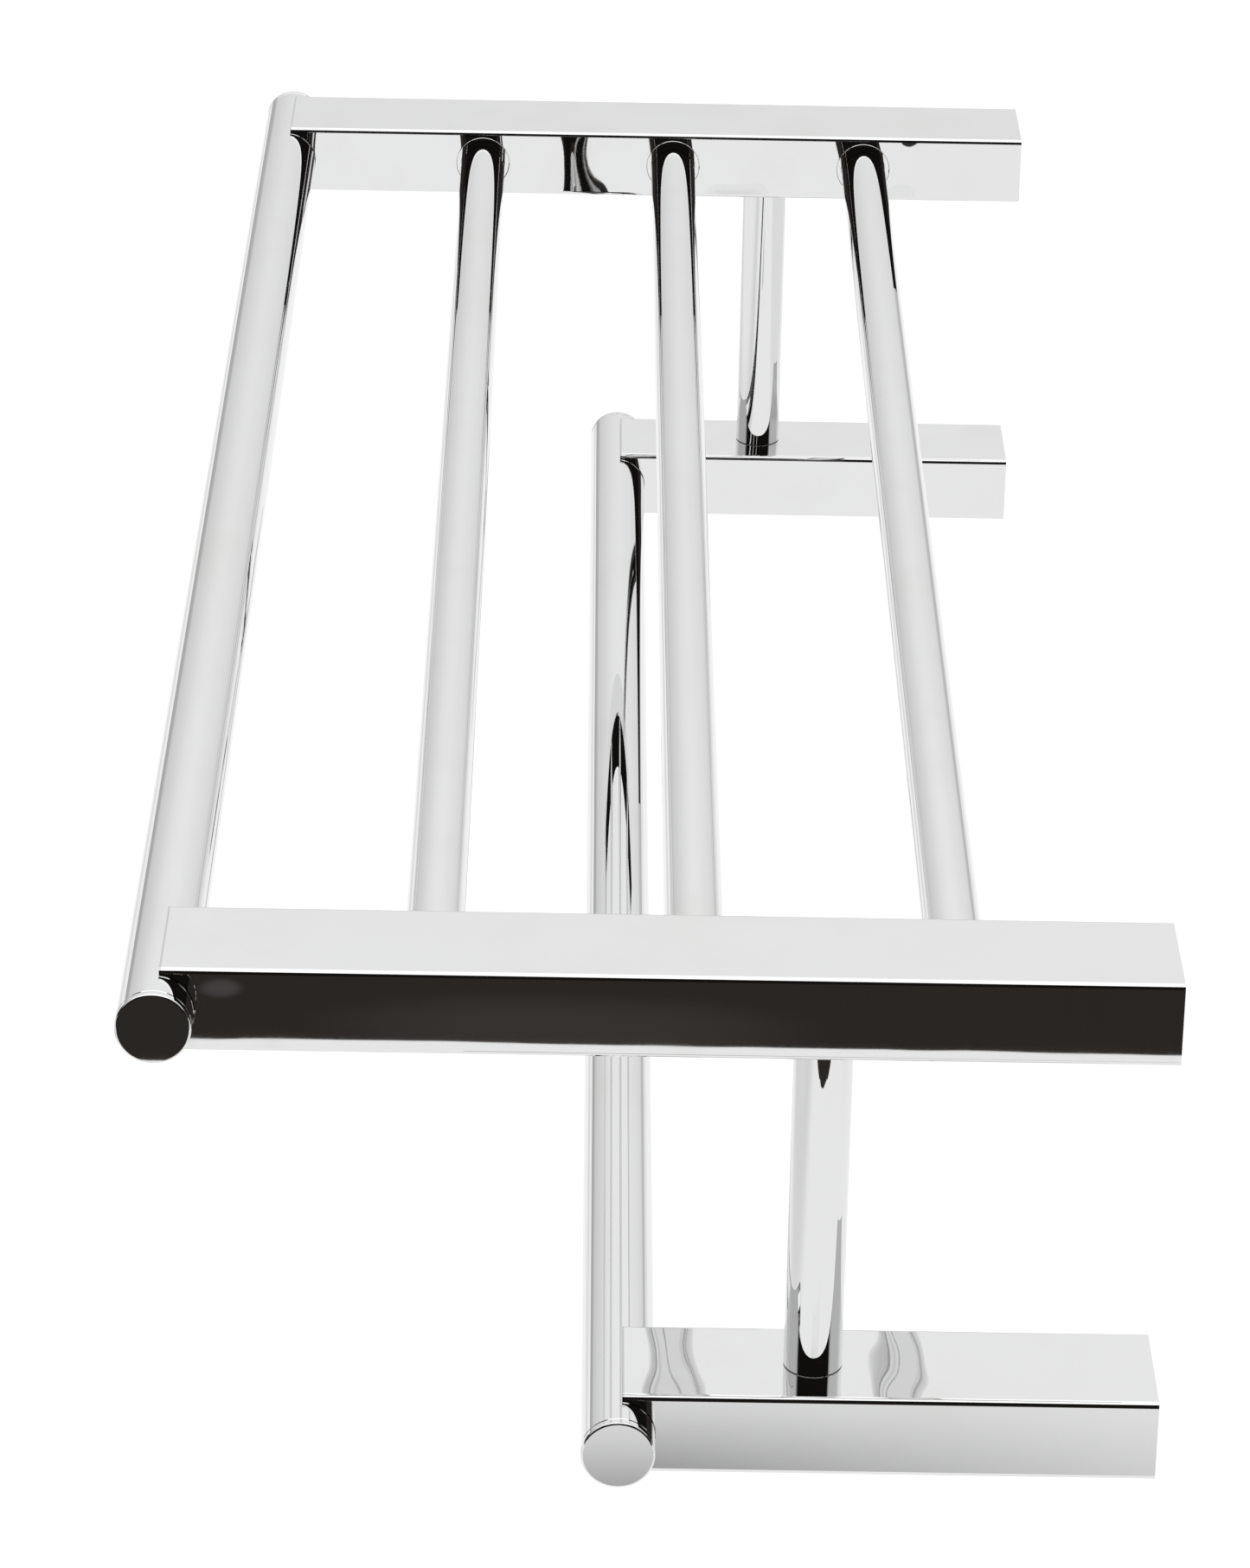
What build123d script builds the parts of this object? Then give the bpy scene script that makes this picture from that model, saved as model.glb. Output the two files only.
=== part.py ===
"""Wall-mounted towel rack.

Two hollow arms carry a shelf of round tubes: a thicker rail across the front and three
thinner rods behind it. A round post under each of them carries a shorter arm, and a second
rail joins the two lower arms. Every arm slides over a bracket that is screwed to the wall.

The origin is in the middle of the four wall fixings, on the face of the wall.
+X runs along the rails, -Y points out of the wall into the room, and +Z is up.
All sizes are in millimetres.
"""
import os

from build123d import *

os.makedirs("parts", exist_ok=True)

# ---- driving dimensions -------------------------------------------------------------
OVERALL_LENGTH = 606.0      # over the end caps of the rails
RAIL_OVERHANG = 9.0         # a rail's end past the arm's outer face, cap included
UPPER_REACH = 214.0         # wall to the axis of the upper rail
LOWER_REACH = 116.0         # wall to the axis of the lower rail
LEVEL_SPACING = 100.0       # upper arms to lower arms
POST_REACH = 74.0           # wall to the axis of the posts
ROD_REACHES = {"front": 157.0, "middle": 101.5, "rear": 46.0}

ARM_WIDTH = 31.0
ARM_HEIGHT = 19.0
ARM_WALL = 2.0
ARM_EDGE_RADIUS = 1.2
ARM_SETBACK = 0.8           # an arm's top and bottom stop this far short of the rail's axis

RAIL_DIAMETER = 16.0
RAIL_WALL = 1.2
ROD_DIAMETER = 12.7         # half-inch tube, for the rods and for the posts
ROD_WALL = 1.0
POST_WALL = 1.5

CAP_THICKNESS = 2.0         # the disc that shows at the end of a rail
CAP_SPIGOT_LENGTH = 8.0
CAP_EDGE_RADIUS = 0.5
SEAM_CHAMFER = 0.2          # breaks the edges on each side of a fine seam

COLLAR_DIAMETER = 15.4      # flush ring in the arm's inner face, round each rod
ROD_ENTRY = 9.0             # how far a rod goes into the arm
COPE_GAP = 0.06             # solder gap between an arm's hollowed front end and its rail
SLIDE_GAP = 0.1             # each side of a piece that slides into a tube
FIT_GAP = 0.05              # radial gap of a screw in its thread, or a rod in its collar

NOSE_WEB = 6.0              # solid part of the nose block behind the rail
NUT_LENGTH = 16.0           # round nut inside the rail, along the rail

M5_RADIUS = 2.45
M5_CLEARANCE_RADIUS = 2.7
M5_HEAD_RADIUS = 4.25
M5_HEAD_HEIGHT = 5.0
M5_KEY_SIZE = 4.0           # across the corners of the hexagon socket
M5_KEY_DEPTH = 2.5
TIE_HEAD_RADIUS = 4.5       # countersunk head, flush under the lower arm
POST_NUT_DEPTH = 12.0
POST_NUT_HEIGHT = 5.0

M4_RADIUS = 1.95
M4_LENGTH = 3.0
M4_KEY_SIZE = 2.2
M4_KEY_DEPTH = 1.5
GRUB_REACH = 28.0           # wall to the axis of the grub screws

BRACKET_PLATE = 3.0
TONGUE_LENGTH = 34.0
TONGUE_WIDTH = 18.0
TONGUE_THICKNESS = 2.0
WALL_SCREW_RADIUS = 2.2
WALL_SCREW_HEAD_RADIUS = 3.8

# ---- sizes that follow --------------------------------------------------------------
RAIL_RADIUS = RAIL_DIAMETER / 2
RAIL_BORE_RADIUS = RAIL_RADIUS - RAIL_WALL
ROD_RADIUS = ROD_DIAMETER / 2
COLLAR_RADIUS = COLLAR_DIAMETER / 2
RAIL_LENGTH = OVERALL_LENGTH - 2 * CAP_THICKNESS
ARM_OUTER_X = OVERALL_LENGTH / 2 - RAIL_OVERHANG
ARM_INNER_X = ARM_OUTER_X - ARM_WIDTH
ARM_X = ARM_OUTER_X - ARM_WIDTH / 2
CAVITY_WIDTH = ARM_WIDTH - 2 * ARM_WALL
CAVITY_HEIGHT = ARM_HEIGHT - 2 * ARM_WALL
POST_TOP = LEVEL_SPACING / 2 - ARM_HEIGHT / 2

SIDES = {"left": -1, "right": 1}
# level: height of the arm's centre line, and reach from the wall to the rail's axis
LEVELS = {
    "upper": (LEVEL_SPACING / 2, UPPER_REACH),
    "lower": (-LEVEL_SPACING / 2, LOWER_REACH),
}


def wall_plane(x, z, reach=0.0):
    """A plane parallel to the wall and facing the room, `reach` out from the wall."""
    return Plane(origin=(x, -reach, z), x_dir=(1, 0, 0), z_dir=(0, -1, 0))


def end_plane(x, reach, z, side=1):
    """A plane square to the rails, facing the right-hand end, or the left if side is -1."""
    return Plane(origin=(x, -reach, z), x_dir=(0, 1, 0), z_dir=(side, 0, 0))


def level_plane(x, reach, z):
    """A horizontal plane that faces up."""
    return Plane(origin=(x, -reach, z))


def save(piece, name):
    """Label a finished piece and write it to its own STEP file."""
    piece.part.label = name
    export_step(piece.part, f"parts/{name}.step")


def cut_cope(x, z, reach):
    """Hollow the front end of an arm or a nose block to fit round its rail."""
    with BuildSketch(end_plane(x - ARM_WIDTH / 2, reach, z)) as cope:
        Circle(RAIL_RADIUS + COPE_GAP)
    extrude(cope.sketch, amount=ARM_WIDTH, mode=Mode.SUBTRACT)


def cut_hole(plane, radius, depth):
    """Cut a round hole from a plane, along the way it faces."""
    with BuildSketch(plane) as hole:
        Circle(radius)
    extrude(hole.sketch, amount=depth, mode=Mode.SUBTRACT)


def cope_rims(arm, side):
    """The arcs where an arm's hollowed front end meets its two upright outside faces."""
    outside = (side * ARM_OUTER_X, side * ARM_INNER_X)
    arcs = arm.edges().filter_by(GeomType.CIRCLE)
    rims = [a for a in arcs if abs(a.radius - RAIL_RADIUS - COPE_GAP) < 0.001]
    return [a for a in rims if min(abs(a.center().X - x) for x in outside) < 0.001]


def make_arm(level, side_name):
    """A rectangular tube, open at the wall and coped to its rail at the front."""
    z, reach = LEVELS[level]
    side = SIDES[side_name]
    x = side * ARM_X
    underside = z - ARM_HEIGHT / 2
    with BuildPart() as arm:
        with BuildSketch(wall_plane(x, z)):
            RectangleRounded(ARM_WIDTH, ARM_HEIGHT, ARM_EDGE_RADIUS)
            Rectangle(CAVITY_WIDTH, CAVITY_HEIGHT, mode=Mode.SUBTRACT)
        extrude(amount=reach - ARM_SETBACK)
        cut_cope(x, z, reach)
        chamfer(cope_rims(arm, side), length=SEAM_CHAMFER)
        cut_hole(level_plane(x, GRUB_REACH, underside), M4_RADIUS + FIT_GAP, ARM_WALL)
        if level == "upper":
            cut_hole(level_plane(x, POST_REACH, underside), M5_CLEARANCE_RADIUS, ARM_WALL)
            for rod_reach in ROD_REACHES.values():
                inner_face = end_plane(side * ARM_INNER_X, rod_reach, z, side)
                cut_hole(inner_face, COLLAR_RADIUS + FIT_GAP, ARM_WALL)
        else:
            cut_hole(level_plane(x, POST_REACH, z), M5_CLEARANCE_RADIUS, ARM_HEIGHT)
            with BuildSketch(level_plane(x, POST_REACH, underside)):
                Circle(TIE_HEAD_RADIUS + FIT_GAP)
            with BuildSketch(level_plane(x, POST_REACH, underside + ARM_WALL)):
                Circle(M5_RADIUS + FIT_GAP)
            loft(mode=Mode.SUBTRACT)
    save(arm, f"{level}_arm_{side_name}")


def make_nose_block(level, side_name):
    """The solid block soldered into an arm's front end, which the rail is bolted to."""
    z, reach = LEVELS[level]
    x = SIDES[side_name] * ARM_X
    block_length = RAIL_RADIUS + NOSE_WEB
    with BuildPart() as nose_block:
        with BuildSketch(wall_plane(x, z, reach - block_length)):
            Rectangle(CAVITY_WIDTH - 2 * SLIDE_GAP, CAVITY_HEIGHT - 2 * SLIDE_GAP)
        extrude(amount=block_length)
        cut_cope(x, z, reach)
        back_face = wall_plane(x, z, reach - block_length)
        cut_hole(back_face, M5_CLEARANCE_RADIUS, block_length)
    save(nose_block, f"{level}_nose_block_{side_name}")


def make_rail(level):
    """A front rail: a plain tube with a bolt hole in its back at each arm."""
    z, reach = LEVELS[level]
    rail_z = z
    with BuildPart() as rail:
        with BuildSketch(end_plane(-RAIL_LENGTH / 2, reach, rail_z)):
            Circle(RAIL_RADIUS)
            Circle(RAIL_BORE_RADIUS, mode=Mode.SUBTRACT)
        extrude(amount=RAIL_LENGTH)
        outer_rims = rail.edges().filter_by(GeomType.CIRCLE).group_by(SortBy.RADIUS)[-1]
        chamfer(outer_rims, length=SEAM_CHAMFER)
        for side in SIDES.values():
            behind_rail = wall_plane(side * ARM_X, rail_z, reach - RAIL_RADIUS)
            cut_hole(behind_rail, M5_CLEARANCE_RADIUS, RAIL_RADIUS)
    save(rail, f"{level}_front_rail")


def make_rail_cap(level, side_name):
    """A push-in cap: the disc that closes a rail's end, on a spigot inside the tube."""
    z, reach = LEVELS[level]
    side = SIDES[side_name]
    rail_end = end_plane(side * RAIL_LENGTH / 2, reach, z, side)
    with BuildPart() as cap:
        with BuildSketch(rail_end):
            Circle(RAIL_RADIUS)
        extrude(amount=CAP_THICKNESS)
        faces_by_x = cap.faces().sort_by(Axis.X)
        outer_face = faces_by_x[-1] if side > 0 else faces_by_x[0]
        seam_face = faces_by_x[0] if side > 0 else faces_by_x[-1]
        seam_rim = seam_face.edges()
        fillet(outer_face.edges(), radius=CAP_EDGE_RADIUS)
        chamfer(seam_rim, length=SEAM_CHAMFER)
        with BuildSketch(rail_end):
            Circle(RAIL_BORE_RADIUS - FIT_GAP)
        extrude(amount=-CAP_SPIGOT_LENGTH)
    save(cap, f"{level}_rail_cap_{side_name}")


def make_rail_nut(level, side_name):
    """A round nut inside the rail, which the rail screw pulls against the arm."""
    z, reach = LEVELS[level]
    x = SIDES[side_name] * ARM_X
    rail_z = z
    nut_radius = RAIL_BORE_RADIUS - SLIDE_GAP
    with BuildPart() as rail_nut:
        with BuildSketch(end_plane(x - NUT_LENGTH / 2, reach, rail_z)):
            Circle(nut_radius)
        extrude(amount=NUT_LENGTH)
        cut_hole(wall_plane(x, rail_z, reach - nut_radius), M5_RADIUS + FIT_GAP, 2 * nut_radius)
    save(rail_nut, f"{level}_rail_nut_{side_name}")


def make_rail_screws():
    """Four cap-head screws, from inside the arms through the nose blocks into the nuts."""
    with BuildPart() as rail_screws:
        for z, reach in LEVELS.values():
            head_seat = reach - RAIL_RADIUS - NOSE_WEB
            for side in SIDES.values():
                x = side * ARM_X
                with BuildSketch(wall_plane(x, z, head_seat - M5_HEAD_HEIGHT)):
                    Circle(M5_HEAD_RADIUS)
                    RegularPolygon(M5_KEY_SIZE / 2, 6, mode=Mode.SUBTRACT)
                extrude(amount=M5_KEY_DEPTH)
                solid_head = head_seat - M5_HEAD_HEIGHT + M5_KEY_DEPTH
                with BuildSketch(wall_plane(x, z, solid_head)):
                    Circle(M5_HEAD_RADIUS)
                extrude(amount=M5_HEAD_HEIGHT - M5_KEY_DEPTH)
                with BuildSketch(wall_plane(x, z, head_seat)):
                    Circle(M5_RADIUS)
                extrude(amount=NOSE_WEB + RAIL_DIAMETER - 2 * RAIL_WALL)
    save(rail_screws, "rail_screws")


def make_rod(name):
    """One of the three thinner shelf tubes, with its ends inside the two arms."""
    rod_length = 2 * (ARM_INNER_X + ROD_ENTRY)
    with BuildPart() as rod:
        with BuildSketch(end_plane(-rod_length / 2, ROD_REACHES[name], LEVEL_SPACING / 2)):
            Circle(ROD_RADIUS)
            Circle(ROD_RADIUS - ROD_WALL, mode=Mode.SUBTRACT)
        extrude(amount=rod_length)
    save(rod, f"shelf_rod_{name}")


def make_rod_collar(name, side_name):
    """The flush ring that fixes a rod in the inner face of an arm."""
    side = SIDES[side_name]
    inner_face = end_plane(side * ARM_INNER_X, ROD_REACHES[name], LEVEL_SPACING / 2, side)
    with BuildPart() as collar:
        with BuildSketch(inner_face):
            Circle(COLLAR_RADIUS)
        extrude(amount=ARM_WALL)
        faces_by_x = collar.faces().sort_by(Axis.X)
        shown_face = faces_by_x[0] if side > 0 else faces_by_x[-1]
        chamfer(shown_face.edges(), length=SEAM_CHAMFER)
        cut_hole(inner_face, ROD_RADIUS + FIT_GAP, ARM_WALL)
    save(collar, f"rod_collar_{name}_{side_name}")


def make_post(side_name):
    """The tube that spaces a lower arm from the upper one."""
    x = SIDES[side_name] * ARM_X
    with BuildPart() as post:
        with BuildSketch(level_plane(x, POST_REACH, -POST_TOP)):
            Circle(ROD_RADIUS)
            Circle(ROD_RADIUS - POST_WALL, mode=Mode.SUBTRACT)
        extrude(amount=2 * POST_TOP)
        outer_rims = post.edges().filter_by(GeomType.CIRCLE).group_by(SortBy.RADIUS)[-1]
        chamfer(outer_rims, length=SEAM_CHAMFER)
    save(post, f"post_{side_name}")


def make_post_nut(side_name):
    """A bar nut inside the upper arm, too wide to turn, over the post."""
    x = SIDES[side_name] * ARM_X
    seat = POST_TOP + ARM_WALL
    with BuildPart() as post_nut:
        with BuildSketch(level_plane(x, POST_REACH, seat)):
            Rectangle(CAVITY_WIDTH - 2 * SLIDE_GAP, POST_NUT_DEPTH)
            Circle(M5_RADIUS + FIT_GAP, mode=Mode.SUBTRACT)
        extrude(amount=POST_NUT_HEIGHT)
    save(post_nut, f"post_nut_{side_name}")


def make_tie_screws():
    """Two long countersunk screws: up through the lower arm and the post to the bar nut."""
    underside = -LEVEL_SPACING / 2 - ARM_HEIGHT / 2
    nut_top = POST_TOP + ARM_WALL + POST_NUT_HEIGHT
    with BuildPart() as tie_screws:
        for side in SIDES.values():
            x = side * ARM_X
            with BuildSketch(level_plane(x, POST_REACH, underside)):
                Circle(TIE_HEAD_RADIUS)
            with BuildSketch(level_plane(x, POST_REACH, underside + ARM_WALL)):
                Circle(M5_RADIUS)
            loft()
            with BuildSketch(level_plane(x, POST_REACH, underside + ARM_WALL)):
                Circle(M5_RADIUS)
            extrude(amount=nut_top - underside - ARM_WALL)
            with BuildSketch(level_plane(x, POST_REACH, underside)):
                RegularPolygon(M5_KEY_SIZE / 2, 6)
            extrude(amount=M5_KEY_DEPTH, mode=Mode.SUBTRACT)
    save(tie_screws, "tie_screws")


def make_wall_bracket(level, side_name):
    """A plate screwed to the wall inside an arm's open end, with a tongue for the grub screw."""
    z, _ = LEVELS[level]
    x = SIDES[side_name] * ARM_X
    tongue_z = z - ARM_HEIGHT / 2 + M4_LENGTH + TONGUE_THICKNESS / 2
    with BuildPart() as bracket:
        with BuildSketch(wall_plane(x, z)):
            Rectangle(CAVITY_WIDTH - 2 * SLIDE_GAP, CAVITY_HEIGHT - 2 * SLIDE_GAP)
        extrude(amount=BRACKET_PLATE)
        with BuildSketch(wall_plane(x, tongue_z, BRACKET_PLATE)):
            Rectangle(TONGUE_WIDTH, TONGUE_THICKNESS)
        extrude(amount=TONGUE_LENGTH)
        cut_hole(wall_plane(x, z), WALL_SCREW_RADIUS, BRACKET_PLATE)
        sink_depth = WALL_SCREW_HEAD_RADIUS - WALL_SCREW_RADIUS
        with BuildSketch(wall_plane(x, z, BRACKET_PLATE - sink_depth)):
            Circle(WALL_SCREW_RADIUS)
        with BuildSketch(wall_plane(x, z, BRACKET_PLATE)):
            Circle(WALL_SCREW_HEAD_RADIUS)
        loft(mode=Mode.SUBTRACT)
    save(bracket, f"{level}_wall_bracket_{side_name}")


def make_grub_screws():
    """Four socket grub screws that lock the arms on the tongues of the brackets."""
    with BuildPart() as grub_screws:
        for z, _ in LEVELS.values():
            underside = z - ARM_HEIGHT / 2
            for side in SIDES.values():
                with BuildSketch(level_plane(side * ARM_X, GRUB_REACH, underside)):
                    Circle(M4_RADIUS)
                extrude(amount=M4_LENGTH)
                with BuildSketch(level_plane(side * ARM_X, GRUB_REACH, underside)):
                    RegularPolygon(M4_KEY_SIZE / 2, 6)
                extrude(amount=M4_KEY_DEPTH, mode=Mode.SUBTRACT)
    save(grub_screws, "grub_screws")


for level_name in LEVELS:
    make_rail(level_name)
    for end_name in SIDES:
        make_arm(level_name, end_name)
        make_nose_block(level_name, end_name)
        make_rail_cap(level_name, end_name)
        make_rail_nut(level_name, end_name)
        make_wall_bracket(level_name, end_name)

for rod_name in ROD_REACHES:
    make_rod(rod_name)
    for end_name in SIDES:
        make_rod_collar(rod_name, end_name)

for end_name in SIDES:
    make_post(end_name)
    make_post_nut(end_name)

make_rail_screws()
make_tie_screws()
make_grub_screws()
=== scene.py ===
import math

import bmesh
import bpy
from mathutils import Matrix, Vector


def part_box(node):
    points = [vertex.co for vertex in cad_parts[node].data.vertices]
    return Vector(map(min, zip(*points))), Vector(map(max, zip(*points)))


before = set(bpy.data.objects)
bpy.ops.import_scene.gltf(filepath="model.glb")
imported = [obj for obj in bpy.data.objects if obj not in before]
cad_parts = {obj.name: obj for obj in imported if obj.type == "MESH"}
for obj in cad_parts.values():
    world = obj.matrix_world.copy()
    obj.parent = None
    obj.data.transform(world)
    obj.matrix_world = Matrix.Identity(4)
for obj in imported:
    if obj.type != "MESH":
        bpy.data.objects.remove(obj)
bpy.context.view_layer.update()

# ------------------------------------------------------------------ camera
CAMERA_PLACE = Vector((1.41927, -0.12861, 0.61186))
CAMERA_PITCH = 0.4244           # radians below the horizon
CAMERA_YAW = -0.01
CAMERA_ROLL = 0.0207
LENS = 138.67                   # mm, on a 36 mm sensor
UPWARDS = Vector((0.0, 0.0, 1.0))

# ------------------------------------------------------------------ places on the rack, in metres
ARM_OUTER_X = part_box("upper_arm_right")[1].x
UPPER_END_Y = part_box("upper_arm_right")[0].y
LOWER_END_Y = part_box("lower_arm_right")[0].y
FOOT_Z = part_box("post_right")[0].z
POST_CLEARANCE = 0.001
POST_FRONT_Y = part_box("post_right")[0].y - POST_CLEARANCE
BETWEEN_LEVELS = (-0.001, 0.001)        # heights that part the lower arms from the upper ones

POST_FOOT_SHADE_HEIGHT = 0.00024             # height of the painted shade line round a post's foot, on its fine seam chamfer
RAIL_JOINT_SHADE_WIDTH = 0.0004             # width of the painted shade line along the rail on an arm's top and bottom
# painted shade on the seam chamfer at a post's foot: the chrome's brightness is cut to this
POST_FOOT_SHADE_TONE = 0.16
# painted shade along the rail on an arm's top and bottom: the chrome's brightness is cut to this
RAIL_JOINT_SHADE_TONE = 0.58

# ------------------------------------------------------------------ waves of the polish
# a noise is (scale, in cells for a metre, detail, roughness); a depth is in metres
ARM_WAVES = (36.0, 1.0, 0.4)
ARM_STRETCH = (0.8, 1.2, 0.8)
ARM_DEPTH = 0.00050
WAVE_SHIFT = (28.57, 27.80, 12.49)      # which stretch of the waves falls on the rack
FAR_SHIFT = (-18.91, -13.59, -11.78)    # and how much further along it the left arms are
FAR_DEPTH = 0.8                 # the left arms' waves, against the right arms'
FAR_LEAN = 0.019                # slope: the left arms' faces are polished a little out of square
LAP_SPAN = (0.0009, 0.0002)     # how far inside the outer faces the flatter lapping starts, and is full
LAPPED = 0.02                   # what the lapping leaves of every bump

TUBE_WAVES = (34.0, 1.0, 0.4)
TUBE_STRETCH = (0.35, 1.0, 1.0)
TUBE_DEPTH = 0.000002

# ------------------------------------------------------------------ chrome plate
WHEEL_LINES = (1.0, 3.0, 0.6)
ARM_LINES_STRETCH = (900.0, 30.0, 900.0)        # the buffing wheel's lines run along an arm
TUBE_LINES_STRETCH = (25.0, 1500.0, 1500.0)     # and along the rails and rods
TURNED_LINES_STRETCH = (400.0, 900.0, 900.0)
ARM_LINES_DEPTH = 0.00000008
TUBE_LINES_DEPTH = 0.00000002
TURNED_LINES_DEPTH = 0.00000008
PEEL = (420.0, 2.0, 0.5)
ARM_PEEL_DEPTH = 0.0000004
TUBE_PEEL_DEPTH = 0.00000005
TURNED_PEEL_DEPTH = 0.0000002

SMUDGE = (26.0, 5.0, 0.62)
SMUDGE_RANGE = (0.52, 0.74)
SMUDGE_ROUGHNESS = 0.008
HAZE = (700.0, 3.0, 0.7)
HAZE_RANGE = (0.3, 0.8)
HAZE_ROUGHNESS = (0.009, 0.012)
STREAK_RANGE = (0.62, 0.78)
STREAK_ROUGHNESS = 0.002
CLOUD = (11.0, 3.0, 0.5)
CLOUD_RANGE = (0.35, 0.7)
PLATE_COOL = (0.795, 0.797, 0.801)
PLATE_WARM = (0.780, 0.780, 0.779)
PLATE_DULL = (0.765, 0.762, 0.756)

# ------------------------------------------------------------------ the hidden metals
BRASS_RINGS_STRETCH = (300.0, 2600.0, 300.0)
BRASS_RINGS = (1.0, 3.0, 0.6)
BRASS_RINGS_DEPTH = 0.00002
BRASS_ROUGHNESS = (0.24, 0.42)
BRASS_TARNISH = (90.0, 5.0, 0.6)
BRASS_TARNISH_RANGE = (0.38, 0.68)
BRASS_CLEAN = (0.76, 0.58, 0.30)
BRASS_DULL = (0.55, 0.38, 0.17)
BRASS_ANISOTROPY = 0.3

ZINC_CELLS = 260.0
ZINC_CELL_RANGE = (0.0, 0.8)
ZINC_CELL_DEPTH = 0.00003
ZINC_DRIFT = (60.0, 4.0, 0.6)
ZINC_ROUGHNESS = (0.26, 0.44)
ZINC_BLUE = (0.60, 0.63, 0.68)
ZINC_STRAW = (0.69, 0.67, 0.60)
ZINC_EDGE = (0.56, 0.57, 0.58)

STEEL_MARKS_STRETCH = (1800.0, 600.0, 1800.0)
STEEL_MARKS = (1.0, 3.0, 0.6)
STEEL_MARKS_DEPTH = 0.00001
STEEL_ROUGHNESS = (0.20, 0.36)
STEEL_LIGHT = (0.60, 0.60, 0.61)
STEEL_DARK = (0.49, 0.49, 0.50)
STEEL_ANISOTROPY = 0.2

MARKS_RANGE = (0.3, 0.7)        # the middle of a noise, which sets these metals' roughness

# ------------------------------------------------------------------ studio, in metres, light linear
FLOOR_Z = -0.35                 # the rack hangs over a white studio floor
CARD_Z = FLOOR_Z + 0.001        # the cards that lie on it
STUDIO_RADIUS = 14.0
BACKDROP_DETAIL = 4
SEEN_WHITE = (1.08, 1.08, 1.08)         # floor and backdrop as the camera sees them

LIT_FLOOR = (-3.5, 3.2, -3.2, 3.2)      # x from, x to, y from, y to
DARK_FLOOR = [(1.0745, -1.9), (1.068, 1.9), (3.3, 3.2), (3.3, -3.2)]
FLOOR_DARK = (0.029, 0.0245, 0.021)     # the floor past its lit part
LIFT_PLACE = (1.085, -0.13)             # where the dark floor is a little lighter
LIFT_REACH = (0.030, 0.10)
LIFT_TONE = (0.046, 0.040, 0.036)
PALE_PLACE = (1.112, -0.2525)           # and a small spot of it lighter still
PALE_REACH = (0.009, 0.009)
PALE_TONE = (0.068, 0.063, 0.060)

FRONT_FADE = (-0.75, -0.50)             # y, over which the lit floor weakens towards the front
FRONT_LEVEL = 0.80
FURTHER_FADE = (-1.05, -0.75)
FURTHER_GAIN = 0.18
REAR_FADE = (0.62, 0.80)
REAR_LOSS = 0.12

FOOT_CARD = (0.73, 0.86, -0.16, 0.10)   # x from, x to, y from, y to
FOOT_ALONG = (0.775, 0.845)
FOOT_SIDE = (-0.10, 0.06)
FOOT_FRONT_STEPS = [(0.0, 0.34), (0.25, 0.51), (0.6, 0.77), (1.0, 0.95)]
FOOT_REAR_STEPS = [(0.0, 0.75), (0.25, 0.82), (0.6, 0.91), (1.0, 0.96)]

STRIP_CENTRE = (0.285, -0.074)          # below the near face of the right post
STRIP_TIP = 0.741                       # the dark strip's least distance from there
STRIP_SIDE = [(14.0, 0.7998), (27.0, 0.800), (27.0, 0.762), (22.0, 0.753), (13.0, 0.745)]

# ------------------------------------------------------------------ world, light linear
# a rise is the sine of the height above the horizon
SKY_RANGE = (-0.2, 1.0)
SKY_STEPS = [(0.0, 0.34), (0.165, 0.40), (0.21, 0.56), (0.425, 0.655), (0.52, 0.720)]
SKY_STEPS += [(0.60, 0.735), (0.83, 1.0), (1.0, 1.0)]
SKY_GAIN = 1.35
WALL_SIDE_GAIN = 0.13           # more light from the wall's side, less from the room's
WALL_SIDE_RISE = (0.25, 0.6)
FLANK_NORTH = (0.62, 0.85)
FLANK_RISE = (0.55, 0.75)
FLANK_LEVEL = 0.66
ROOM_DARK = (0.008, 0.007, 0.0065)      # the unlit room behind the camera
ROOM_WIDE = (math.radians(60.0), math.radians(72.0))
ROOM_RISE = (math.sin(math.radians(50.0)), math.sin(math.radians(54.0)))
BAND_WIDE = (math.radians(120.0), math.radians(145.0))
BAND_RISE = (0.20, 0.34)
BAND_SHARE = 0.9

# ------------------------------------------------------------------ Mix node, its colour sockets
MIX_FACTOR = 0
MIX_FIRST = 6
MIX_SECOND = 7
MIX_RESULT = 2


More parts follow.
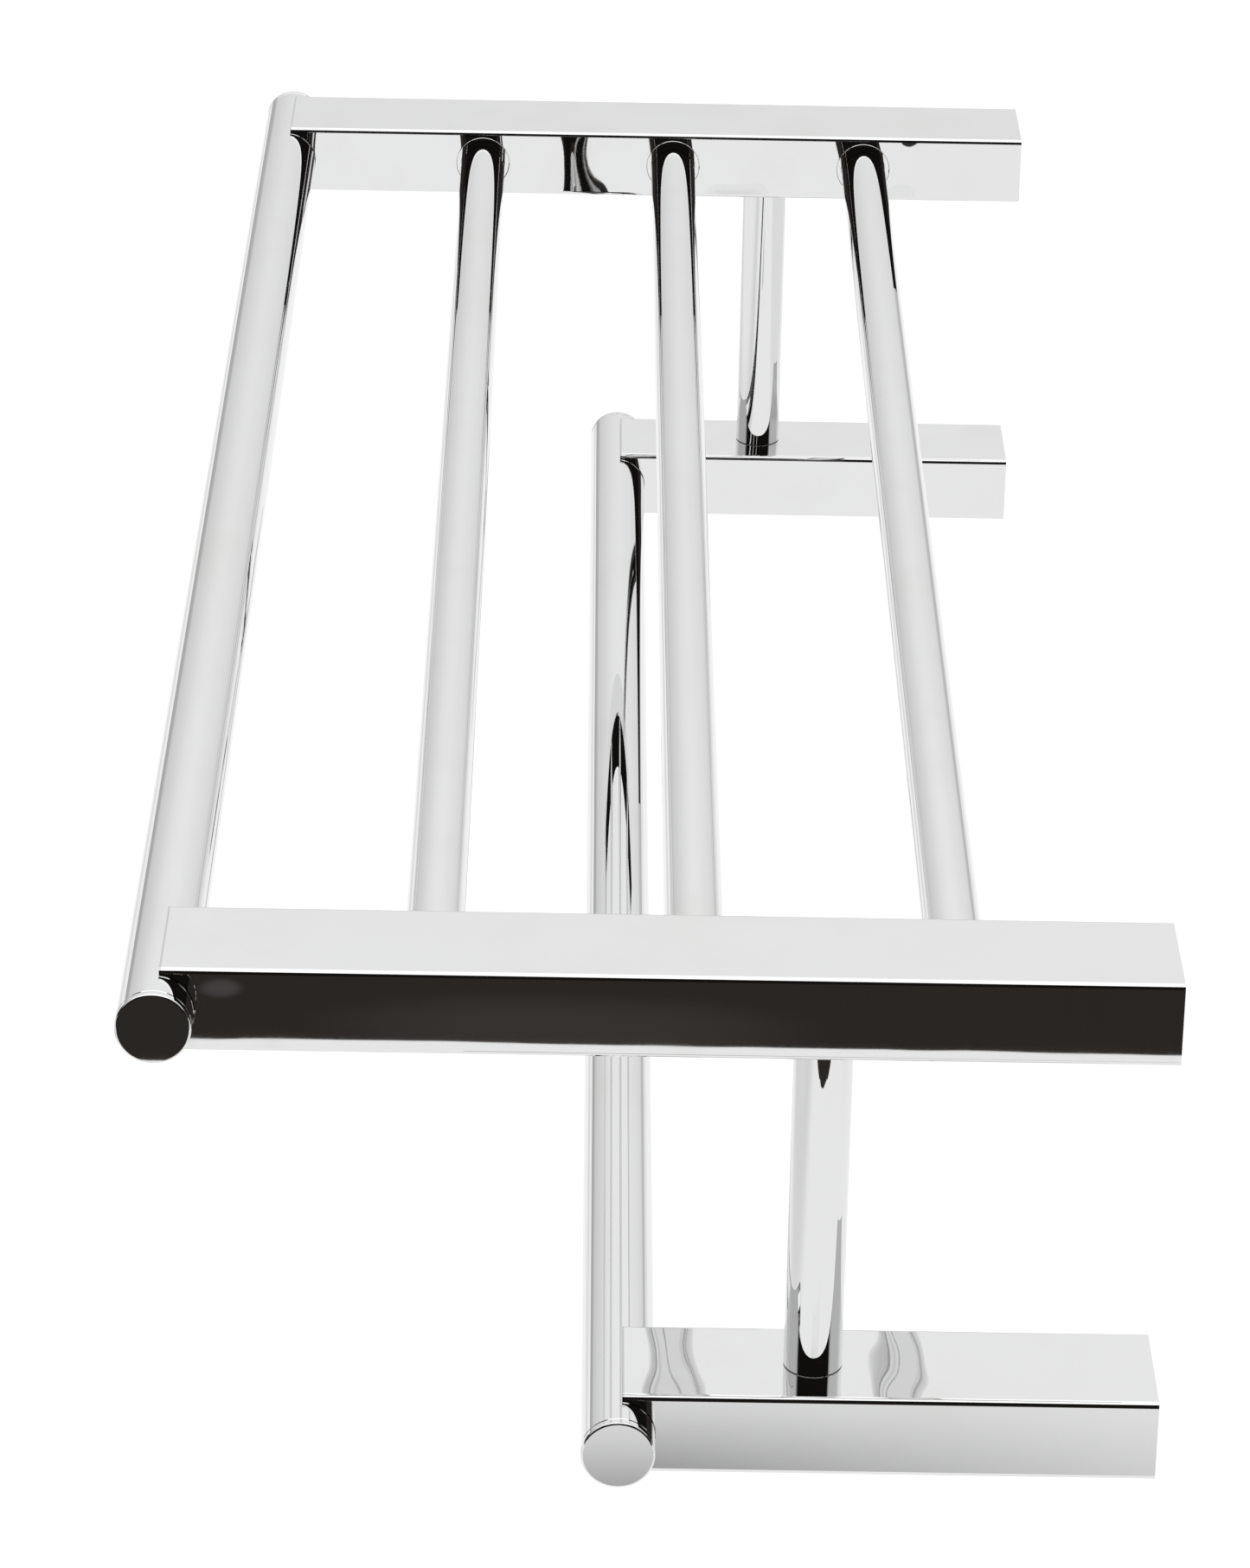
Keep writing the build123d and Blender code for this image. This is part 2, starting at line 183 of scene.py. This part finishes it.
# ------------------------------------------------------------------ node helper
class Tree:
    """A node tree that is built one node at a time."""

    def __init__(self, owner):
        owner.use_nodes = True
        self.tree = owner.node_tree
        self.tree.nodes.clear()

    def feed(self, socket, value):
        if isinstance(value, bpy.types.NodeSocket):
            self.tree.links.new(value, socket)
        else:
            socket.default_value = value

    def node(self, kind, inputs=None, **settings):
        made = self.tree.nodes.new(kind)
        for name, value in settings.items():
            setattr(made, name, value)
        for name, value in (inputs or {}).items():
            self.feed(made.inputs[name], value)
        return made

    def maths(self, operation, first, second=0.0, third=0.0):
        made = self.node("ShaderNodeMath", {0: first, 1: second, 2: third}, operation=operation)
        return made.outputs["Value"]

    def span(self, value, low, high, to_low=0.0, to_high=1.0, smooth=False):
        """value, carried from the range low..high to the range to_low..to_high, and held there."""
        settings = {"interpolation_type": "SMOOTHSTEP"} if smooth else {}
        wanted = {"Value": value, "From Min": low, "From Max": high}
        wanted.update({"To Min": to_low, "To Max": to_high})
        return self.node("ShaderNodeMapRange", wanted, **settings).outputs["Result"]

    def blend(self, factor, first, second):
        made = self.node("ShaderNodeMix", data_type="RGBA")
        self.feed(made.inputs[MIX_FACTOR], factor)
        self.feed(made.inputs[MIX_FIRST], first)
        self.feed(made.inputs[MIX_SECOND], second)
        return made.outputs[MIX_RESULT]

    def ramp(self, value, stops):
        """The level of grey that stops, a list of (place, level), gives for value."""
        made = self.node("ShaderNodeValToRGB", {"Fac": value})
        row = made.color_ramp.elements
        while len(row) < len(stops):
            row.new(0.5)
        for element, (place, level) in zip(row, stops):
            element.position = place
            element.color = solid((level, level, level))
        return made.outputs["Color"]

    def place(self, scale=(1.0, 1.0, 1.0), shift=(0.0, 0.0, 0.0)):
        """The point on the surface in the rack's own frame, in metres, times scale and shifted."""
        where = self.node("ShaderNodeTexCoord").outputs["Object"]
        found = self.node("ShaderNodeMapping", {"Vector": where, "Scale": scale, "Location": shift})
        return found.outputs["Vector"]

    def axes(self):
        """The same point's X, Y and Z."""
        where = self.node("ShaderNodeTexCoord").outputs["Object"]
        return self.node("ShaderNodeSeparateXYZ", {"Vector": where}).outputs

    def noise(self, where, scale, detail, roughness):
        wanted = {"Vector": where, "Scale": scale, "Detail": detail, "Roughness": roughness}
        return self.node("ShaderNodeTexNoise", wanted).outputs["Fac"]

    def bump(self, height, depth, under=None, strength=1.0):
        """The normal of height, times depth in metres, on top of the normal under."""
        made = self.node("ShaderNodeBump", {"Height": height, "Distance": depth, "Strength": strength})
        if under is not None:
            self.feed(made.inputs["Normal"], under)
        return made.outputs["Normal"]


def solid(colour):
    """A colour as a socket takes it, with its alpha."""
    return (*colour, 1.0)


# ------------------------------------------------------------------ waves and seams
def flat_outside(tree):
    """1 over most of an arm, and nearly 0 on the arms' outer faces, which are lapped flatter."""
    outward = tree.maths("ABSOLUTE", tree.axes()["X"])
    start, end = (ARM_OUTER_X - depth for depth in LAP_SPAN)
    return tree.span(outward, start, end, 1.0, LAPPED)


def arm_waves(tree, strength):
    """The slow waves of an arm's flat faces, and the slight lean of the left arms' faces."""
    at = tree.axes()
    left = tree.maths("LESS_THAN", at["X"], 0.0)
    lean = tree.maths("MULTIPLY", tree.maths("MULTIPLY", at["Y"], left), -1.0)
    further = tree.node("ShaderNodeVectorMath", {0: FAR_SHIFT, "Scale": left}, operation="SCALE")
    wanted = {0: tree.place(ARM_STRETCH, WAVE_SHIFT), 1: further.outputs["Vector"]}
    where = tree.node("ShaderNodeVectorMath", wanted, operation="ADD").outputs["Vector"]
    waves = tree.noise(where, *ARM_WAVES)
    normal = tree.bump(lean, FAR_LEAN, None, strength)
    weaker = tree.maths("MULTIPLY", strength, tree.span(left, 0.0, 1.0, 1.0, FAR_DEPTH))
    return tree.bump(waves, ARM_DEPTH, normal, weaker)


def tube_waves(tree, strength):
    """The much slighter waves of what is ground round."""
    waves = tree.noise(tree.place(TUBE_STRETCH), *TUBE_WAVES)
    return tree.bump(waves, TUBE_DEPTH, None, strength)


def painted_post_foot_shade(tree):
    """Painted shade: 1 on the fine chamfer where a post stands on its lower arm, where the chrome is
    darkened, and 0 elsewhere.
    """
    at = tree.axes()
    low = tree.maths("LESS_THAN", at["Z"], FOOT_Z + POST_FOOT_SHADE_HEIGHT)
    post = tree.maths("GREATER_THAN", at["Y"], POST_FRONT_Y)
    return tree.maths("MULTIPLY", low, post)


def painted_rail_joint_shade(tree):
    """Painted shade: 1 on the last of an arm's top and bottom, along the rail, where the chrome is
    darkened, and 0 elsewhere.
    """
    at = tree.axes()
    end = tree.span(at["Z"], *BETWEEN_LEVELS, LOWER_END_Y + RAIL_JOINT_SHADE_WIDTH, UPPER_END_Y + RAIL_JOINT_SHADE_WIDTH)
    return tree.maths("LESS_THAN", at["Y"], end)


# ------------------------------------------------------------------ materials
def metal_output(tree, colour, roughness, normal, anisotropic=0.0):
    metal = tree.node("ShaderNodeBsdfPrincipled", {"Metallic": 1.0})
    tree.feed(metal.inputs["Base Color"], colour)
    tree.feed(metal.inputs["Roughness"], roughness)
    tree.feed(metal.inputs["Normal"], normal)
    metal.inputs["Anisotropic"].default_value = anisotropic
    out = tree.node("ShaderNodeOutputMaterial")
    tree.feed(out.inputs["Surface"], metal.outputs["BSDF"])


def plate_roughness(tree, lines, smudge):
    """Nearly a mirror: a fine haze, the deepest wheel lines and the smudges scatter a little."""
    haze = tree.span(tree.noise(tree.place(), *HAZE), *HAZE_RANGE, *HAZE_ROUGHNESS)
    streak = tree.span(lines, *STREAK_RANGE, 0.0, STREAK_ROUGHNESS)
    roughness = tree.maths("ADD", haze, streak)
    return tree.maths("MULTIPLY_ADD", smudge, SMUDGE_ROUGHNESS, roughness)


def plate_colour(tree, smudge):
    """Chrome's cool grey, with warmer clouds, and duller at the smudges."""
    cloud = tree.span(tree.noise(tree.place(), *CLOUD), *CLOUD_RANGE)
    plate = tree.blend(cloud, solid(PLATE_COOL), solid(PLATE_WARM))
    return tree.blend(smudge, plate, solid(PLATE_DULL))


def chrome(name, waves, stretch, lines_depth, peel_depth, lapped=False, painted_shade_mask=None, painted_shade_tone=0.0):
    """Polished chrome plate: waves, faint lines of the buffing wheel, haze, smudges, and painted shade
    along a joint.
    """
    material = bpy.data.materials.new(name)
    tree = Tree(material)

    strength = flat_outside(tree) if lapped else 1.0
    lines = tree.noise(tree.place(stretch), *WHEEL_LINES)
    peel = tree.noise(tree.place(), *PEEL)
    normal = waves(tree, strength)
    normal = tree.bump(lines, lines_depth, normal, strength)
    normal = tree.bump(peel, peel_depth, normal, strength)

    smudge = tree.span(tree.noise(tree.place(), *SMUDGE), *SMUDGE_RANGE)
    roughness = plate_roughness(tree, lines, smudge)
    colour = plate_colour(tree, smudge)
    if painted_shade_mask is not None:
        # painted shade: the chrome is darkened to the given tone where the mask is 1
        colour = tree.blend(painted_shade_mask(tree), colour, solid((painted_shade_tone, painted_shade_tone, painted_shade_tone)))
    metal_output(tree, colour, roughness, normal)
    return material


def arm_chrome(name):
    depths = (ARM_LINES_DEPTH, ARM_PEEL_DEPTH)
    return chrome(name, arm_waves, ARM_LINES_STRETCH, *depths, True, painted_rail_joint_shade, RAIL_JOINT_SHADE_TONE)


def tube_chrome(name):
    depths = (TUBE_LINES_DEPTH, TUBE_PEEL_DEPTH)
    return chrome(name, tube_waves, TUBE_LINES_STRETCH, *depths, False, painted_post_foot_shade, POST_FOOT_SHADE_TONE)


def turned_chrome(name):
    return chrome(name, tube_waves, TURNED_LINES_STRETCH, TURNED_LINES_DEPTH, TURNED_PEEL_DEPTH)


def raw_brass(name):
    """Sawn and turned brass: fine rings, a warm patchy tarnish."""
    material = bpy.data.materials.new(name)
    tree = Tree(material)
    rings = tree.noise(tree.place(BRASS_RINGS_STRETCH), *BRASS_RINGS)
    tarnish = tree.span(tree.noise(tree.place(), *BRASS_TARNISH), *BRASS_TARNISH_RANGE)
    colour = tree.blend(tarnish, solid(BRASS_CLEAN), solid(BRASS_DULL))
    roughness = tree.span(rings, *MARKS_RANGE, *BRASS_ROUGHNESS)
    metal_output(tree, colour, roughness, tree.bump(rings, BRASS_RINGS_DEPTH), BRASS_ANISOTROPY)
    return material


def zinc_steel(name):
    """Pressed steel with bright zinc: soft crystals of the coating, faint blue and straw tints."""
    material = bpy.data.materials.new(name)
    tree = Tree(material)
    cells = tree.node("ShaderNodeTexVoronoi", {"Vector": tree.place(), "Scale": ZINC_CELLS})
    crystal = tree.span(cells.outputs["Distance"], *ZINC_CELL_RANGE)
    drift = tree.noise(tree.place(), *ZINC_DRIFT)
    tint = tree.blend(drift, solid(ZINC_BLUE), solid(ZINC_STRAW))
    colour = tree.blend(crystal, tint, solid(ZINC_EDGE))
    roughness = tree.span(drift, *MARKS_RANGE, *ZINC_ROUGHNESS)
    metal_output(tree, colour, roughness, tree.bump(crystal, ZINC_CELL_DEPTH))
    return material


def screw_steel(name):
    """Stainless steel: turning marks and a little haze."""
    material = bpy.data.materials.new(name)
    tree = Tree(material)
    marks = tree.noise(tree.place(STEEL_MARKS_STRETCH), *STEEL_MARKS)
    colour = tree.blend(marks, solid(STEEL_LIGHT), solid(STEEL_DARK))
    roughness = tree.span(marks, *MARKS_RANGE, *STEEL_ROUGHNESS)
    metal_output(tree, colour, roughness, tree.bump(marks, STEEL_MARKS_DEPTH), STEEL_ANISOTROPY)
    return material


def finish_nodes():
    """Every CAD node keeps its shape and takes the finish of its slot."""
    finishes = {
        "chrome_arm": arm_chrome("arm_chrome"),
        "chrome_tube": tube_chrome("tube_chrome"),
        "chrome_cap": turned_chrome("cap_chrome"),
        "chrome_collar": turned_chrome("collar_chrome"),
        "raw_brass": raw_brass("machined_brass"),
        "zinc_steel": zinc_steel("bright_zinc"),
        "screw_steel": screw_steel("stainless"),
    }
    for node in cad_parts.values():
        for held in node.material_slots:
            held.material = finishes[held.material.name]


# ------------------------------------------------------------------ studio
def shaded(name, build):
    """A surface that gives the light that build(tree) makes from the place on it."""
    material = bpy.data.materials.new(name)
    tree = Tree(material)
    lit = tree.node("ShaderNodeEmission", {"Color": build(tree), "Strength": 1.0})
    out = tree.node("ShaderNodeOutputMaterial")
    tree.feed(out.inputs["Surface"], lit.outputs["Emission"])
    return material


def glow(name, colour):
    """A surface that gives an even light of that colour."""
    return shaded(name, lambda tree: solid(colour))


def card_of(name, corners, material):
    """A flat stage card through the corners given."""
    mesh = bpy.data.meshes.new(name)
    mesh.from_pydata(corners, [], [tuple(range(len(corners)))])
    card = bpy.data.objects.new(name, mesh)
    bpy.context.scene.collection.objects.link(card)
    card.data.materials.append(material)
    return card


def only_seen(card):
    """The camera sees it, and nothing mirrors it or is lit by it."""
    card.visible_glossy = False
    card.visible_diffuse = False
    card.visible_transmission = False
    card.visible_shadow = False


def rectangle(x_low, x_high, y_low, y_high, z):
    return [(x_low, y_low, z), (x_high, y_low, z), (x_high, y_high, z), (x_low, y_high, z)]


def seen_room():
    """The plain white floor and the white backdrop round it, for the camera alone."""
    white = glow("studio_white", SEEN_WHITE)
    reach = STUDIO_RADIUS
    floor = card_of("studio_floor", rectangle(-reach, reach, -reach, reach, FLOOR_Z), white)
    only_seen(floor)
    mesh = bpy.data.meshes.new("studio_backdrop")
    backdrop = bpy.data.objects.new("studio_backdrop", mesh)
    bpy.context.scene.collection.objects.link(backdrop)
    build = bmesh.new()
    bmesh.ops.create_icosphere(build, subdivisions=BACKDROP_DETAIL, radius=reach)
    build.to_mesh(mesh)
    build.free()
    mesh.materials.append(white)
    only_seen(backdrop)


def near_spot(tree, at, place, reach):
    """1 at a place on the floor, falling softly to 0 at reach, (along x, along y), from it."""
    across = tree.maths("DIVIDE", tree.maths("SUBTRACT", at["X"], place[0]), reach[0])
    along = tree.maths("DIVIDE", tree.maths("SUBTRACT", at["Y"], place[1]), reach[1])
    squares = tree.maths("MULTIPLY_ADD", along, along, tree.maths("MULTIPLY", across, across))
    return tree.span(squares, 0.0, 1.0, 1.0, 0.0, True)


def room_shade(tree):
    """The dark part of the floor, a little lighter in two places."""
    at = tree.axes()
    lift = near_spot(tree, at, LIFT_PLACE, LIFT_REACH)
    base = tree.blend(lift, solid(FLOOR_DARK), solid(LIFT_TONE))
    pale = near_spot(tree, at, PALE_PLACE, PALE_REACH)
    return tree.blend(pale, base, solid(PALE_TONE))


def floor_tone(tree):
    """The lit part: even white, a little weaker far to the front and far to the wall side."""
    at = tree.axes()
    front = tree.span(at["Y"], *FRONT_FADE, FRONT_LEVEL, 1.0, True)
    further = tree.span(at["Y"], *FURTHER_FADE, FURTHER_GAIN, 0.0, True)
    rear = tree.span(at["Y"], *REAR_FADE, 0.0, REAR_LOSS, True)
    level = tree.maths("SUBTRACT", tree.maths("ADD", front, further), rear)
    grey = tree.node("ShaderNodeCombineColor", {"Red": level, "Green": level, "Blue": level})
    return grey.outputs["Color"]


def foot_shade(tree):
    """Under the camera the floor falls off towards the rack, more so at the rack's front."""
    at = tree.axes()
    along = tree.span(at["X"], *FOOT_ALONG)
    side = tree.span(at["Y"], *FOOT_SIDE)
    front = tree.ramp(along, FOOT_FRONT_STEPS)
    rear = tree.ramp(along, FOOT_REAR_STEPS)
    return tree.blend(side, front, rear)


def strip_corner(degrees, reach):
    """The corner of the dark strip at that angle from the x axis and that distance."""
    angle = math.radians(degrees)
    x, y = STRIP_CENTRE
    return (x + reach * math.cos(angle), y + reach * math.sin(angle), CARD_Z)


def strip_outline():
    """An arc of floor round the post, the same on both sides of its middle."""
    front = [strip_corner(-degrees, reach) for degrees, reach in STRIP_SIDE]
    rear = [strip_corner(degrees, reach) for degrees, reach in reversed(STRIP_SIDE)]
    return [*front, strip_corner(0.0, STRIP_TIP), *rear]


def reflected_floor():
    """The floor that the chrome mirrors: white up to an edge, dark beyond it, and a dark strip."""
    beyond = [(x, y, CARD_Z) for x, y in DARK_FLOOR]
    cards = [
        card_of("floor_light", rectangle(*LIT_FLOOR, FLOOR_Z), shaded("floor_light", floor_tone)),
        card_of("floor_beyond", beyond, shaded("floor_beyond", room_shade)),
        card_of("floor_shade", rectangle(*FOOT_CARD, CARD_Z), shaded("floor_shade", foot_shade)),
        card_of("floor_strip", strip_outline(), glow("floor_strip", FLOOR_DARK)),
    ]
    for card in cards:
        card.visible_camera = False


def sky_light(tree, north, rise):
    """Bright overhead, dimmer towards the horizon and low on the two flanks."""
    height = tree.span(rise, *SKY_RANGE)
    bright = tree.maths("MULTIPLY", tree.ramp(height, SKY_STEPS), SKY_GAIN)
    side = tree.maths("MULTIPLY", north, WALL_SIDE_GAIN)
    low = tree.span(rise, *WALL_SIDE_RISE, 1.0, 0.0)
    bright = tree.maths("MULTIPLY_ADD", low, side, bright)

    flank = tree.span(tree.maths("ABSOLUTE", north), *FLANK_NORTH, 0.0, 1.0, True)
    low_flank = tree.maths("MULTIPLY", flank, tree.span(rise, *FLANK_RISE, 1.0, 0.0, True))
    return tree.maths("MULTIPLY", bright, tree.span(low_flank, 0.0, 1.0, 1.0, FLANK_LEVEL))


def unlit_room(tree, azimuth, rise):
    """1 in the room behind the camera, up to its lamps, and a little less low down beside it."""
    wide = tree.span(azimuth, *ROOM_WIDE, 1.0, 0.0, True)
    top = tree.span(rise, *ROOM_RISE, 1.0, 0.0, True)
    room = tree.maths("MULTIPLY", wide, top)
    band_wide = tree.span(azimuth, *BAND_WIDE, 1.0, 0.0, True)
    band_top = tree.span(rise, *BAND_RISE, 1.0, 0.0, True)
    band = tree.maths("MULTIPLY", tree.maths("MULTIPLY", band_wide, band_top), BAND_SHARE)
    return tree.maths("MAXIMUM", room, band)


def world_light():
    """What the chrome mirrors above the floor: a bright sky and the dark room behind the camera."""
    world = bpy.data.worlds.new("studio")
    bpy.context.scene.world = world
    tree = Tree(world)
    direction = tree.node("ShaderNodeTexCoord").outputs["Generated"]
    parts = tree.node("ShaderNodeSeparateXYZ", {"Vector": direction}).outputs
    east, north, rise = parts["X"], parts["Y"], parts["Z"]
    azimuth = tree.maths("ABSOLUTE", tree.maths("ARCTAN2", north, east))
    bright = sky_light(tree, north, rise)
    mixed = tree.blend(unlit_room(tree, azimuth, rise), bright, solid(ROOM_DARK))
    back = tree.node("ShaderNodeBackground", {"Color": mixed, "Strength": 1.0})
    out = tree.node("ShaderNodeOutputWorld")
    tree.feed(out.inputs["Surface"], back.outputs["Background"])


# ------------------------------------------------------------------ camera
def make_camera():
    """Past the rack's right-hand end, looking along it from above, and rolled a little."""
    flat = Vector((math.cos(CAMERA_YAW), math.sin(CAMERA_YAW), 0.0))
    ahead = -flat * math.cos(CAMERA_PITCH) - UPWARDS * math.sin(CAMERA_PITCH)
    right = ahead.cross(UPWARDS).normalized()
    up = right.cross(ahead)
    across = right * math.cos(CAMERA_ROLL) + up * math.sin(CAMERA_ROLL)
    upward = up * math.cos(CAMERA_ROLL) - right * math.sin(CAMERA_ROLL)
    data = bpy.data.cameras.new("camera")
    data.lens = LENS
    camera = bpy.data.objects.new("camera", data)
    turned = Matrix((across, upward, -ahead)).transposed().to_4x4()
    camera.matrix_world = Matrix.Translation(CAMERA_PLACE) @ turned
    bpy.context.scene.collection.objects.link(camera)
    bpy.context.scene.camera = camera


finish_nodes()
seen_room()
reflected_floor()
world_light()
make_camera()
bpy.context.scene.view_settings.view_transform = "Standard"
